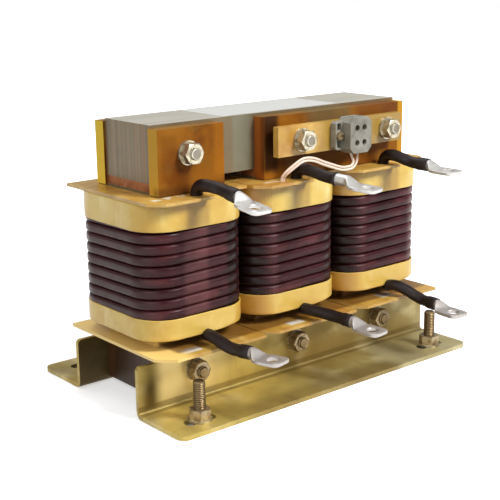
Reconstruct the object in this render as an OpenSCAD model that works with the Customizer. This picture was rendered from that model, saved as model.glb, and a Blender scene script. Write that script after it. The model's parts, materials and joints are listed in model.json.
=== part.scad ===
// Three-phase iron-core reactor with three copper wound coils.
// X runs along the core, -Y is the lead side, Z is up.
// The origin is the middle of the footprint on the plane that the feet stand on.

/* [Core] */
// Distance between neighbouring limbs and coils
limb_pitch = 86; // [85.5:0.5:100]
// Width of one limb along the core
limb_width = 50; // [40:0.5:51]
// Depth of the lamination stack
stack_depth = 52; // [40:0.5:54]
// Height of the upper yoke
upper_yoke_height = 38; // [34:0.5:60]
// Height of the lower yoke
lower_yoke_height = 36.5; // [33:0.5:60]
// Underside of the lower yoke above the floor
yoke_lift = 4; // [1:0.5:8]
// How far a limb stands out above the upper flange plate
limb_rise = 1.5; // [0.5:0.5:6]
// Thickness of the air-gap shim between limb and upper yoke
gap_shim_thickness = 5.5; // [2:0.5:12]

/* [Coils] */
// Build-up of one coil from the limb's side to the outside of the turns
side_build = 16.5; // [15.5:0.25:16.75]
// Build-up of one coil from the stack's front to the outside of the turns
front_build = 20; // [19:0.25:26]
// Outside corner radius of the outer layer of turns
coil_corner = 23; // [18:0.5:30]
// Height of the band of turns that shows between the collars
band_height = 58; // [50:0.5:80]
// Turns that show between the collars, one more being tucked half under each of them
visible_turns = 8; // [6:1:10]
// Thickness of one turn, measured square to the coil's side
turn_depth = 6; // [5:0.1:6.5]
// Free height between neighbouring turns
turn_gap = 0.55; // [0.45:0.05:1.2]
// Height of the insulating collar below the turns
lower_collar_height = 14.5; // [13:0.5:30]
// Height of the insulating collar above the turns
upper_collar_height = 18.5; // [14:0.5:30]
// How far the collars stand out past the turns
collar_proud = 0.8; // [0.5:0.1:0.9]
// Free height between the lower flange plate and the lower collar
collar_lift = 7.5; // [4:0.5:9]
// Thickness of the insulation wrapped between the inner layers and the outer layer
wrap_thickness = 0.5; // [0.3:0.1:1]

/* [Formers and flange plates] */
// Wall of the coil former
former_wall = 2; // [1:0.25:2.5]
// Play between limb and former on each side
limb_play = 0.5; // [0.2:0.1:1]
// Thickness of the flange plates
plate_thickness = 2; // [1:0.25:4]
// Free width between neighbouring flange plates
plate_gap = 1; // [0.5:0.25:3]
// How far the upper flange plates stand out past the turns at the front
upper_plate_front = 8; // [4:0.5:14]
// How far the upper flange plates stand out past the turns at the back
upper_plate_rear = 4; // [2:0.5:14]
// How far the lower flange plates stand out past the turns at the front
lower_plate_front = 12.5; // [4:0.5:18]
// How far the lower flange plates stand out past the turns at the back
lower_plate_rear = 6; // [2:0.5:18]
// Cut corner of the upper flange plates
upper_chamfer = 9; // [4:0.5:12]
// Cut corner of the lower flange plates
lower_chamfer = 11; // [4:0.5:16]
// Right end of the upper plate's front tab, from the coil's middle line
tab_right = 4.5; // [3:0.5:30]
// Front edge of the upper plate beside its tab, in from the outside of the turns
tab_step = 6; // [2:0.5:6]

/* [Upper clamp plates] */
// Thickness of the clamp plates
clamp_thickness = 10; // [6:0.5:14]
// Height of the clamp plates
clamp_height = 42.5; // [36:0.5:46]
// Free height between upper flange plate and clamp plates
clamp_lift = 0.5; // [0.25:0.25:4]
// How far the short clamp plates stand out past the yoke's left end
clamp_overhang = 1.5; // [0:0.25:4]
// Length of the short clamp plate
short_clamp_length = 53; // [44:0.5:60]
// Length of the long clamp plate
long_clamp_length = 136; // [130:0.5:150]
// Height of the clamp bolts above the upper yoke's underside
clamp_bolt_rise = 19.5; // [14:0.5:26]

/* [Foot brackets] */
// Length of the foot brackets
bracket_length = 270; // [250:1:320]
// Height of the upright web
bracket_height = 35.5; // [34:0.5:38]
// Sheet thickness
sheet = 3; // [2:0.25:4]
// Width of the foot, from the web's inner face to the foot's edge
foot_width = 50.5; // [46:0.5:70]
// Inner radius of the bend
bend_radius = 2; // [1:0.25:4]
// Rounding of the web's upper corners
web_corner = 3; // [2:0.5:10]
// Rounding of the foot's outer corners
foot_corner = 6; // [2:0.5:10]
// Length of a mounting slot from end to end
slot_length = 24; // [18:0.5:34]
// Width of a mounting slot
slot_width = 9; // [8.5:0.25:11]
// Distance between the two slots of one foot
slot_spacing = 219; // [190:0.5:230]
// Slot centre from the foot's outer edge
slot_edge = 16; // [12:0.5:20]
// Thickness of the packing boards between lower yoke and brackets
packing_thickness = 9; // [6:0.5:14]
// Height of the yoke bolts above the floor
yoke_bolt_z = 24; // [18:0.5:26]

/* [Fasteners] */
// Diameter of bolts and studs
bolt_d = 8; // [6:0.5:8]
// Width of nuts and bolt heads across the flats
hex_flats = 13; // [13:0.5:15]
// Thickness of the nuts
nut_height = 6.5; // [5:0.25:8]
// Thickness of the bolt heads
head_height = 5.3; // [4:0.1:7]
// Outside diameter of the washers
washer_d = 16; // [15:0.5:20]
// Thickness of the washers
washer_thickness = 1.6; // [1:0.1:2.5]
// Thread that shows past a nut
thread_out = 2; // [1:0.5:8]
// Height of the foot studs above the floor
stud_height = 30; // [20:0.5:31]

/* [Leads] */
// Diameter of the bare lead conductor
lead_d = 5.4; // [4:0.1:5.6]
// Outside diameter of the lead's sleeve
sleeve_d = 8.2; // [7.5:0.1:9]
// Distance from the coil's middle line to the upper leads
upper_lead_x = -2; // [-4:0.5:0]
// Distance from the coil's middle line to the lower leads
lower_lead_x = 0.5; // [-1:0.5:3]
// Height of an upper lead's middle above the upper flange plate
upper_lead_lift = 7; // [6:0.5:12]
// Height of a lower lead's middle above the lower flange plate
lower_lead_lift = 7.1; // [6.5:0.1:9]
// Distance from the turns' front to the end of the left upper conductor
upper_reach = 24.6; // [20:0.2:60]
// Distance from the turns' front to the end of the left lower conductor
lower_reach = 30.2; // [20:0.2:60]
// Thickness of the lug's palm
lug_palm_thickness = 2.4; // [1.5:0.1:3]
// Width of the lug's palm
lug_palm_width = 16.5; // [13:0.5:19]
// Length of the lug's palm
lug_palm_length = 19; // [17:0.5:26]
// Diameter of the stud hole in the lug
lug_hole_d = 8.4; // [5:0.2:9]

/* [Terminal bar and block] */
// Length of the terminal bar
bar_length = 119; // [116:0.5:124]
// Height of the terminal bar
bar_height = 20.5; // [17:0.5:24]
// Thickness of the terminal bar
bar_thickness = 5; // [3:0.5:8]
// Stand-off between clamp plate and terminal bar
bar_standoff = 5; // [3:0.5:10]
// Distance from the middle of the core to the bar's left end
bar_left = 21; // [18:0.5:24]
// Distance from the middle of the core to the middle of the terminal block
block_x = 44.3; // [40:0.1:48]
// Width of the terminal block's body
block_width = 20.5; // [19:0.5:24]
// Depth of the terminal block's body
block_depth = 13; // [11.5:0.5:16]
// Height of the terminal block's body
block_height = 25; // [22:0.5:28]
// Width of the fixing ear on each side of the block
ear_width = 6.5; // [5.5:0.25:8]
// Diameter of one core of the thermal switch's wires
wire_d = 1.8; // [1.2:0.1:2]

/* [Hidden] */

// Overrun of every cut past the face that it opens
over = 1;
// Seat gap between wound or soft pieces and what carries them
seat = 0.1;
// Free space round a piece that passes through another
play = 0.3;
// Radial play of a bolt in its nut
thread_play = 0.05;
// Sides of the round faceted sweeps
sweep_sides = 8;
// Facets of the exact round shapes
$fn = 48;

// Heights of the stack, from the floor up
lower_yoke_top = yoke_lift + lower_yoke_height;
lower_plate_top = lower_yoke_top + plate_thickness;
lower_collar_bottom = lower_plate_top + collar_lift;
turns_bottom = lower_collar_bottom + lower_collar_height;
turns_top = turns_bottom + band_height;
upper_plate_bottom = turns_top + upper_collar_height;
upper_plate_top = upper_plate_bottom + plate_thickness;
limb_top = upper_plate_top + limb_rise;
upper_yoke_bottom = limb_top + gap_shim_thickness;
clamp_bottom = upper_plate_top + clamp_lift;
clamp_bolt_z = upper_yoke_bottom + clamp_bolt_rise;

// Core
core_length = 2 * limb_pitch + limb_width;
coil_x = [-limb_pitch, 0, limb_pitch];
// The bolt holes are drilled a little beside the limbs' middle lines
bolt_shift = [-3, 0.4, -2.7];
bolt_x = coil_x + bolt_shift;

// Front faces, as distances from the middle plane
web_face = stack_depth / 2 + packing_thickness;
clamp_face = stack_depth / 2 + clamp_thickness;
bar_back = clamp_face + bar_standoff;
bar_face = bar_back + bar_thickness;
slot_y = web_face + foot_width - slot_edge;

// Outside of the outer layer of turns
coil_width = limb_width + 2 * side_build;
coil_depth = stack_depth + 2 * front_build;
plate_width = limb_pitch - plate_gap;

// Coil build-up, as distances in from the outer layer's outside
wrap_inset = turn_depth + seat;
inner_winding_inset = wrap_inset + wrap_thickness + seat;
former_inner_w = limb_width + 2 * limb_play;
former_inner_d = stack_depth + 2 * limb_play;
former_outer_w = former_inner_w + 2 * former_wall;
former_outer_d = former_inner_d + 2 * former_wall;
former_corner = former_wall;

// Helix of the outer layer: its middle line is a rounded rectangle
pitch = band_height / visible_turns;
turn_height = pitch - turn_gap;
turn_count = visible_turns + 1;
// Height of the collar's skirt over the turn that is tucked under it
tuck = pitch - turn_gap / 2 + seat;
helix_x = (coil_width - turn_depth) / 2;
helix_y = (coil_depth - turn_depth) / 2;
helix_corner = coil_corner - turn_depth / 2;
flat_x = helix_x - helix_corner;
flat_y = helix_y - helix_corner;
// Rings in one corner of a loop, four corners making a loop of 24 rings
corner_rings = 6;
loop_rings = 4 * corner_rings;
// Flat part of a turn's outer face, as a share of its height
turn_flat_share = 0.5;
// Straight stretch at each end of the winding, one wire long
run_in = turn_depth;
quarter = PI * helix_corner / 2;
loop_length = 4 * (flat_x + flat_y + quarter);

// Lead roots: straight stub, bend up or down behind the collar, bend out to the front
stub = 2;
side_bend = 5;
upper_front_bend = 7;
lower_front_bend = 4;
upper_turn_x = upper_lead_x - stub - side_bend;
lower_turn_x = lower_lead_x + stub + side_bend;
helix_start_z = turns_bottom - pitch / 2;
helix_length = turn_count * loop_length - (lower_turn_x - upper_turn_x);
helix_end_z = helix_start_z + pitch * (helix_length - 2 * run_in) / loop_length;
upper_run_z = upper_plate_top + upper_lead_lift;
lower_run_z = lower_plate_top + lower_lead_lift;
// Bent by hand: each lead's swing to the right and its drop at the lug, left to right
upper_swing = [3, 14.5, 6];
upper_drop = [9.4, 4.4, 1.2];
lower_swing = [14, 7, -4];
lower_drop = [-1.8, 1.8, 0];
// Reach of each conductor as a share of the left one's
upper_reach_share = [1, 1.22, 1.08];
lower_reach_share = [1, 1.096, 1.11];
// Shift to the right and fall of each conductor's end, as shares of its reach
upper_side_share = [0.15, 0.143, 0.18];
upper_sink_share = [0.079, 0.118, 0.154];
lower_side_share = [0.157, 0.236, 0.278];
lower_sink_share = [0.162, 0.056, 0.218];
// Rise of each lead's crest above its root
upper_crest = [1, 1, 1];
lower_crest = [1, 1, 6];
// How far each sleeve is pushed over its lug's barrel
upper_cover = [9.5, 2, 9.5];
lower_cover = [8.5, 8, 9.5];

// Lug
lug_barrel_wall = 1.1;
lug_barrel_d = lead_d + 2 * (lug_barrel_wall + thread_play);
lug_barrel_length = 10;
lug_neck_length = 5;
sleeve_wall = (sleeve_d - lead_d) / 2 - thread_play;
sleeve_barrel_d = lug_barrel_d + 2 * (sleeve_wall / 2 + thread_play);

// Collar channel behind the front wall, for the lead's root
channel_right = lead_d / 2 + play;
channel_slack = 1;
channel_left = channel_right + channel_slack;
channel_front = coil_depth / 2 + seat;

// Terminal block
block_y = bar_face;
block_bottom = clamp_bolt_z - block_height / 2;
ear_depth = 5;
ear_height = 20;
ear_recess_depth = 3;
ear_recess_height = 4.5;
ear_rim = 1.4;
pole_pitch = 7;
pole_depth = 6.5;
clamp_tube_d = 5.2;
clamp_tube_length = 16;
clamp_bore_d = 3.6;
entry_d = 4;
well_d = 4.2;
well_pitch = 10.4;
block_screw_d = 3;
fixing_screw_d = 3;
fixing_head_d = 5.6;
fixing_head_height = 2.4;
block_chamfer = 3.5;
ear_chamfer = 1.5;
well_sink = 3;

// Thermal switch, tucked behind the middle coil's upper collar
switch_w = 9;
switch_d = 4;
switch_h = 10;
switch_x = -17;
switch_wire_x = -14.5;
switch_y = helix_y;
switch_bottom = turns_top + tuck + seat;
wire_hole_d = 2 * wire_d + 2 * play;

function unit(v) = v / norm(v);
function bezier(a, b, c, d, t) =
    a * pow(1 - t, 3) + b * 3 * t * pow(1 - t, 2) + c * 3 * t * t * (1 - t) + d * pow(t, 3);
function bezier_slope(a, b, c, d, t) =
    (b - a) * pow(1 - t, 2) + (c - b) * 2 * t * (1 - t) + (d - c) * t * t;

// Faces of a tube of rings, closed at both ends, as triangles
function tube_faces(rings, sides) = concat(
    [for (k = [1 : sides - 2]) [0, k, k + 1]],
    [for (i = [0 : rings - 2], k = [0 : sides - 1], h = [0, 1])
        let (a = i * sides + k, b = i * sides + (k + 1) % sides)
        h == 0 ? [a, a + sides, b] : [b, a + sides, b + sides]],
    [for (k = [1 : sides - 2]) let (e = (rings - 1) * sides) [e, e + k + 1, e + k]]
);

// Faces of a hollow tube: the outer rings come first, then the inner rings
function pipe_faces(rings, sides) = let (inner = rings * sides) concat(
    [for (i = [0 : rings - 2], k = [0 : sides - 1], h = [0, 1])
        let (a = i * sides + k, b = i * sides + (k + 1) % sides)
        h == 0 ? [a, a + sides, b] : [b, a + sides, b + sides]],
    [for (i = [0 : rings - 2], k = [0 : sides - 1], h = [0, 1])
        let (a = inner + i * sides + k, b = inner + i * sides + (k + 1) % sides)
        h == 0 ? [a, b, a + sides] : [b, b + sides, a + sides]],
    [for (e = [0, rings - 1], k = [0 : sides - 1], h = [0, 1])
        let (a = e * sides + k, b = e * sides + (k + 1) % sides)
        e == 0 ? (h == 0 ? [a, b, a + inner] : [b, b + inner, a + inner])
               : (h == 0 ? [a, a + inner, b] : [b, a + inner, b + inner])]
);

// One ring of a round sweep: place = [centre, direction, side, turn]
function round_ring(place, r) =
    let (t = place[1], u = unit(place[2] - (place[2] * t) * t), w = cross(t, u))
    [for (k = [0 : sweep_sides - 1])
        let (a = 360 * k / sweep_sides + place[3]) place[0] + r * (cos(a) * u + sin(a) * w)];

// Outer layer: places of its rings as [x, y, outward x, outward y, distance run]
function corner_place(n, c, j) =
    let (a = -90 + 90 * c + 90 * j / (corner_rings - 1),
         sx = c < 2 ? 1 : -1,
         sy = (c == 1 || c == 2) ? 1 : -1,
         flats = (c > 0 ? 2 * flat_y : 0) + (c > 1 ? 2 * flat_x : 0) + (c > 2 ? 2 * flat_y : 0))
    [sx * flat_x + helix_corner * cos(a), sy * flat_y + helix_corner * sin(a), cos(a), sin(a),
     flat_x - lower_turn_x + n * loop_length + flats + quarter * (c + j / (corner_rings - 1))];
helix_places = concat(
    [[lower_turn_x, -helix_y, 0, -1, 0], [lower_turn_x + run_in, -helix_y, 0, -1, run_in]],
    [for (n = [0 : turn_count - 1], c = [0 : 3], j = [0 : corner_rings - 1]) corner_place(n, c, j)],
    [[upper_turn_x - run_in, -helix_y, 0, -1, helix_length - run_in],
     [upper_turn_x, -helix_y, 0, -1, helix_length]]
);
function helix_z(run) =
    helix_start_z + pitch * (min(max(run, run_in), helix_length - run_in) - run_in) / loop_length;
turn_section = [
    [-turn_depth / 2, -turn_flat_share * turn_height / 2],
    [0, -turn_height / 2],
    [turn_depth / 2, -turn_flat_share * turn_height / 2],
    [turn_depth / 2, turn_flat_share * turn_height / 2],
    [0, turn_height / 2],
    [-turn_depth / 2, turn_flat_share * turn_height / 2]
];
turn_sides = len(turn_section);
helix_points = [for (p = helix_places, q = turn_section)
    [p[0] + q[0] * p[2], p[1] + q[0] * p[3], helix_z(p[4]) + q[1]]];
helix_gaps = [for (i = [0 : len(helix_places) - 1], m = [-1 : 1])
    let (o = i + loop_rings + m) if (o < len(helix_places))
        min([for (a = [0 : turn_sides - 1], b = [0 : turn_sides - 1])
            norm(helix_points[i * turn_sides + a] - helix_points[o * turn_sides + b])])];
echo(least_gap_between_turns = min(helix_gaps));

// A lead's middle line from the end face of the turns: s is 1 for an upper lead, -1 for a lower one
root_steps = 4;
front_steps = 4;
run_steps = 7;
// Straight stretch of a conductor before its lug
lead_run_in = 3;
// Depth of the conductor in its lug's barrel
lead_seat = 8;
function lead_heading(swing, drop) =
    [sin(swing) * cos(drop), -cos(swing) * cos(drop), -sin(drop)];
function lead_start(s) =
    [s > 0 ? upper_turn_x : lower_turn_x, -helix_y, s > 0 ? helix_end_z : helix_start_z];
function lead_front_bend(s) = s > 0 ? upper_front_bend : lower_front_bend;
function lead_climb(s) =
    abs((s > 0 ? upper_run_z : lower_run_z) - lead_start(s)[2]) - side_bend - lead_front_bend(s);
function lead_root(s) = lead_start(s)
    + [s * (stub + side_bend), -lead_front_bend(s), s * (side_bend + lead_climb(s) + lead_front_bend(s))];
function lead_reach(s, i) =
    s > 0 ? upper_reach * upper_reach_share[i] : lower_reach * lower_reach_share[i];
function lead_end(s, i) = lead_root(s) * [[1, 0, 0], [0, 0, 0], [0, 0, 1]]
    + lead_reach(s, i) * [lead_side(s)[i], -1, -lead_sink(s)[i]] - [0, coil_depth / 2, 0];
function lead_places(s, i) =
    let (start = lead_start(s), bend = lead_front_bend(s), root = lead_root(s),
         head = lead_heading(lead_swing(s)[i], lead_drop(s)[i]),
         tip = lead_end(s, i) - head * lead_run_in, out = norm(tip - root),
         b1 = root + [0, -out / 3, lead_crest(s)[i]], b2 = tip - head * out / 3)
    concat(
        [[start, [s, 0, 0], [0, 1, 0], 0]],
        [for (k = [0 : root_steps]) let (a = 90 * k / root_steps)
            [start + s * [stub + side_bend * sin(a), 0, side_bend * (1 - cos(a))],
             s * [cos(a), 0, sin(a)], [0, 1, 0], 0]],
        [for (k = [0 : front_steps]) let (a = 90 * k / front_steps)
            [[root[0], start[1] - bend * (1 - cos(a)), root[2] - s * bend * (1 - sin(a))],
             [0, -sin(a), s * cos(a)], [1, 0, 0], s * 90]],
        [for (k = [1 : run_steps]) let (t = k / run_steps)
            [bezier(root, b1, b2, tip, t), unit(bezier_slope(root, b1, b2, tip, t)),
             [1, 0, 0], s * 90]],
        [[tip + head * (lead_run_in + lead_seat), head, [1, 0, 0], s * 90]]
    );
// Places that the sleeve covers, and its end on the lug's barrel
function sleeve_places(s, i) =
    let (all = lead_places(s, i), first = root_steps + 2 + (s > 0 ? 0 : front_steps),
         start = s > 0 ? [[all[first][0][0], all[first][0][1], upper_plate_bottom + seat],
                          all[first][1], all[first][2], all[first][3]]
                       : [all[first][0] - [0, collar_proud + seat, 0],
                          all[first][1], all[first][2], all[first][3]])
    concat([start], [for (k = [first + 1 : len(all) - 2]) all[k]]);

module rounded_rect(w, d, r) {
    square([w - 2 * r, d], center = true);
    square([w, d - 2 * r], center = true);
    for (x = [-1, 1], y = [-1, 1]) translate([x * (w / 2 - r), y * (d / 2 - r)]) circle(r = r);
}

module coil_ring(bottom, height, outer_inset, inner_inset) {
    translate([0, 0, bottom]) linear_extrude(height) difference() {
        coil_outline(outer_inset);
        coil_outline(inner_inset);
    }
}

module coil_outline(inset) {
    rounded_rect(coil_width - 2 * inset, coil_depth - 2 * inset, coil_corner - inset);
}

module at_coil(i) {
    translate([coil_x[i], 0, 0]) children();
}

// A rod along Y at x, z, from y_low to y_high
module rod_y(x, z, y_low, y_high, d) {
    translate([x, y_high, z]) rotate([90, 0, 0]) cylinder(h = y_high - y_low, d = d);
}

// Core
module limb() {
    color("#8d8a7c") translate([-limb_width / 2, -stack_depth / 2, lower_yoke_top])
        cube([limb_width, stack_depth, limb_top - lower_yoke_top]);
}

module gap_shim() {
    color("#8a4a22") translate([-limb_width / 2, -stack_depth / 2, limb_top])
        cube([limb_width, stack_depth, gap_shim_thickness]);
}

module yoke(bottom, height, hole_z) {
    color("#8f8c80") difference() {
        translate([-core_length / 2, -stack_depth / 2, bottom])
            cube([core_length, stack_depth, height]);
        for (x = bolt_x) rod_y(x, hole_z, -stack_depth / 2 - over, stack_depth / 2 + over, bolt_d + 2 * play);
    }
}

// Coils
module former() {
    color("#b98b3c") translate([0, 0, lower_plate_top])
        linear_extrude(upper_plate_bottom - lower_plate_top) difference() {
            rounded_rect(former_outer_w, former_outer_d, former_corner);
            square([former_inner_w, former_inner_d], center = true);
        }
}

module inner_winding() {
    color("#7a3b2a") translate([0, 0, lower_collar_bottom])
        linear_extrude(upper_plate_bottom - lower_collar_bottom - seat) difference() {
            coil_outline(inner_winding_inset);
            rounded_rect(former_outer_w + 2 * seat, former_outer_d + 2 * seat, former_corner + seat);
        }
}

module wrap() {
    color("#d8c48c") coil_ring(lower_collar_bottom, upper_plate_bottom - lower_collar_bottom - seat,
        wrap_inset, wrap_inset + wrap_thickness);
}

module outer_turns() {
    color("#4a2a2c") polyhedron(helix_points, tube_faces(len(helix_places), turn_sides));
}

module collar(bottom, height, s) {
    lead_x = s > 0 ? upper_lead_x : lower_lead_x;
    left = s > 0 ? channel_left : channel_right;
    right = s > 0 ? channel_right : channel_left;
    room = s > 0 ? bottom - over : bottom + height - tuck;
    color("#e6c766") difference() {
        coil_ring(bottom, height, -collar_proud, wrap_inset - seat);
        coil_ring(room, tuck + over, -seat, wrap_inset + over);
        translate([lead_x - left, -channel_front, bottom - over])
            cube([left + right, channel_front - coil_depth / 2 + wrap_inset + over, height + 2 * over]);
        if (s < 0) translate([lead_x - channel_right, -coil_depth / 2 - over - collar_proud, bottom - over])
            cube([2 * channel_right, turn_depth, lower_run_z - bottom + channel_right + over]);
    }
}

module lower_collar() {
    collar(lower_collar_bottom, lower_collar_height, -1);
}

module upper_collar() {
    collar(turns_top, upper_collar_height, 1);
}

// The middle coil's upper collar also has the thermal switch's pocket
module switch_collar() {
    color("#e6c766") difference() {
        upper_collar();
        translate([switch_x - switch_w / 2 - play, -switch_y - switch_d / 2 - play, switch_bottom - play])
            cube([switch_w + 2 * play, switch_d + turn_depth / 2, upper_collar_height + over]);
    }
}

// Flange plates
module plate(bottom, front, rear, cut) {
    front_y = -coil_depth / 2 - front;
    color("#d9b04c") difference() {
        translate([-plate_width / 2, front_y, bottom])
            cube([plate_width, coil_depth + front + rear, plate_thickness]);
        translate([-former_inner_w / 2, -former_inner_d / 2, bottom - over])
            cube([former_inner_w, former_inner_d, plate_thickness + 2 * over]);
        translate([-plate_width / 2, front_y, bottom - over]) rotate([0, 0, 45])
            cube([cut * sqrt(2), cut * sqrt(2), plate_thickness * 2 + 2 * over], center = true);
    }
}

module lower_plate() {
    plate(lower_yoke_top, lower_plate_front, lower_plate_rear, lower_chamfer);
}

module upper_plate() {
    color("#d9b04c") difference() {
        plate(upper_plate_bottom, upper_plate_front, upper_plate_rear, upper_chamfer);
        translate([tab_right, -coil_depth / 2 - upper_plate_front - over, upper_plate_bottom - over])
            cube([plate_width, upper_plate_front + tab_step + over, plate_thickness + 2 * over]);
        translate([upper_lead_x, -helix_y, upper_plate_bottom - over])
            cylinder(h = plate_thickness + 2 * over, d = sleeve_d + 2 * play);
    }
}

module switch_plate() {
    color("#d9b04c") difference() {
        upper_plate();
        translate([switch_wire_x, -switch_y, upper_plate_bottom - over])
            cylinder(h = plate_thickness + 2 * over, d = wire_hole_d + wire_d);
    }
}

// Upper clamp plates, side is -1 at the front and 1 at the back
module clamp_plate(x_low, length, side, holes) {
    y_low = side < 0 ? -clamp_face : stack_depth / 2;
    color("#9a5c20") difference() {
        translate([x_low, y_low, clamp_bottom]) cube([length, clamp_thickness, clamp_height]);
        for (x = holes) rod_y(x, clamp_bolt_z, y_low - over, y_low + clamp_thickness + over, bolt_d + 2 * play);
    }
}

module short_clamp(side) {
    clamp_plate(-core_length / 2 - clamp_overhang, short_clamp_length, side, [bolt_x[0]]);
}

module long_clamp(side) {
    clamp_plate(core_length / 2 - long_clamp_length, long_clamp_length, side, [bolt_x[1], bolt_x[2]]);
}

// Foot brackets: the profile lies with the web's inner face at 0 and the foot's underside at 0
module bracket_profile() {
    outer = bend_radius + sheet;
    translate([0, outer]) square([sheet, bracket_height - outer]);
    translate([outer, 0]) square([foot_width - outer, sheet]);
    intersection() {
        translate([outer, outer]) difference() {
            circle(r = outer);
            circle(r = bend_radius);
        }
        square([outer, outer]);
    }
}

module corner_cutter(r, thickness) {
    translate([0, 0, -thickness]) linear_extrude(2 * thickness) difference() {
        translate([0, 0]) square([r + over, r + over]);
        circle(r = r);
    }
}

module slot(x) {
    half = (slot_length - slot_width) / 2;
    for (e = [-half, half]) translate([x + e, slot_y, -over])
        cylinder(h = sheet + 2 * over, d = slot_width);
    translate([x - half, slot_y - slot_width / 2, -over]) cube([2 * half, slot_width, sheet + 2 * over]);
}

module bracket() {
    difference() {
        translate([-bracket_length / 2, web_face, 0]) rotate([90, 0, 90])
            linear_extrude(bracket_length) bracket_profile();
        for (e = [-1, 1]) {
            slot(e * slot_spacing / 2);
            translate([e * (bracket_length / 2 - foot_corner), web_face + foot_width - foot_corner, 0])
                scale([e, 1, 1]) corner_cutter(foot_corner, sheet + over);
            translate([e * (bracket_length / 2 - web_corner), web_face, bracket_height - web_corner])
                scale([e, 1, 1]) rotate([90, 0, 0]) corner_cutter(web_corner, sheet + over);
        }
        for (x = bolt_x) rod_y(x, yoke_bolt_z, web_face - over, web_face + sheet + over, bolt_d + 2 * play);
    }
}

module front_bracket() {
    color("#c2b25a") mirror([0, 1, 0]) bracket();
}

module rear_bracket() {
    color("#c2b25a") bracket();
}

module packing(side) {
    y_low = side < 0 ? -web_face : stack_depth / 2;
    color("#9a5c20") difference() {
        translate([-core_length / 2, y_low, yoke_lift])
            cube([core_length, packing_thickness, bracket_height - yoke_lift]);
        for (x = bolt_x) rod_y(x, yoke_bolt_z, y_low - over, y_low + packing_thickness + over, bolt_d + 2 * play);
    }
}

// Fasteners stand on z = 0 and point up
module hex_body(height) {
    tip = hex_flats / cos(30) / 2;
    bevel = tip - hex_flats / 2;
    intersection() {
        cylinder(h = height, r = tip, $fn = 6);
        rotate_extrude() polygon([[0, 0], [tip, 0], [tip, height - bevel / 2], [tip - bevel, height], [0, height]]);
    }
}

module nut() {
    color("#d7d2c0") difference() {
        hex_body(nut_height);
        translate([0, 0, -over]) cylinder(h = nut_height + 2 * over, d = bolt_d + 2 * thread_play);
    }
}

module washer() {
    color("#dcd8c8") difference() {
        cylinder(h = washer_thickness, d = washer_d);
        translate([0, 0, -over]) cylinder(h = washer_thickness + 2 * over, d = bolt_d + 2 * play);
    }
}

module shank(length) {
    point = bolt_d / 8;
    rotate_extrude() polygon([[0, 0], [bolt_d / 2, 0], [bolt_d / 2, length - point],
        [bolt_d / 2 - point, length], [0, length]]);
}

// A bolt along Y: its head lies on a washer at back, its nut on a washer at front
module cross_bolt(front, back) {
    length = front + back + 2 * washer_thickness + nut_height + thread_out;
    color("#cdbf9a") translate([0, back + washer_thickness, 0]) rotate([90, 0, 0]) {
        shank(length);
        mirror([0, 0, 1]) hex_body(head_height);
    }
}

module cross_nut(front) {
    translate([0, -front - washer_thickness, 0]) rotate([90, 0, 0]) nut();
}

module cross_washers(front, back) {
    translate([0, -front, 0]) rotate([90, 0, 0]) washer();
    translate([0, back + washer_thickness, 0]) rotate([90, 0, 0]) washer();
}

clamp_fronts = [clamp_face, bar_face, bar_face];

module clamp_bolts() {
    for (i = [0 : 2]) translate([bolt_x[i], 0, clamp_bolt_z]) cross_bolt(clamp_fronts[i], clamp_face);
}

module clamp_nuts() {
    for (i = [0 : 2]) translate([bolt_x[i], 0, clamp_bolt_z]) cross_nut(clamp_fronts[i]);
}

module yoke_bolts() {
    for (x = bolt_x) translate([x, 0, yoke_bolt_z]) cross_bolt(web_face + sheet, web_face + sheet);
}

module yoke_nuts() {
    for (x = bolt_x) translate([x, 0, yoke_bolt_z]) cross_nut(web_face + sheet);
}

module washers() {
    for (i = [0 : 2]) {
        translate([bolt_x[i], 0, clamp_bolt_z]) cross_washers(clamp_fronts[i], clamp_face);
        translate([bolt_x[i], 0, yoke_bolt_z]) cross_washers(web_face + sheet, web_face + sheet);
    }
    at_foot_studs(sheet) washer();
}

module at_foot_studs(z) {
    for (e = [-1, 1]) translate([e * slot_spacing / 2, -slot_y, z]) children();
}

module foot_studs() {
    color("#cdbf9a") at_foot_studs(0) shank(stud_height);
}

module foot_nuts() {
    at_foot_studs(sheet + washer_thickness) nut();
}

// Leads
module lead(s, i) {
    places = lead_places(s, i);
    points = [for (p = places) each round_ring(p, lead_d / 2)];
    color("#b87333") polyhedron(points, tube_faces(len(places), sweep_sides));
}

module sleeve(s, i) {
    places = sleeve_places(s, i);
    last = len(places) - 1;
    head = lead_heading(lead_swing(s)[i], lead_drop(s)[i]);
    tip = places[last];
    line = concat(places, [for (e = [-play, lead_cover(s)[i]])
        [lead_end(s, i) + head * e, head, tip[2], tip[3]]]);
    wide = function (k) k > last;
    outer = [for (k = [0 : len(line) - 1])
        each round_ring(line[k], wide(k) ? sleeve_barrel_d / 2 + sleeve_wall / 2 : sleeve_d / 2)];
    inner = [for (k = [0 : len(line) - 1])
        each round_ring(line[k], wide(k) ? sleeve_barrel_d / 2 : lead_d / 2 + thread_play)];
    color("#241f22") polyhedron(concat(outer, inner), pipe_faces(len(line), sweep_sides));
}

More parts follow.
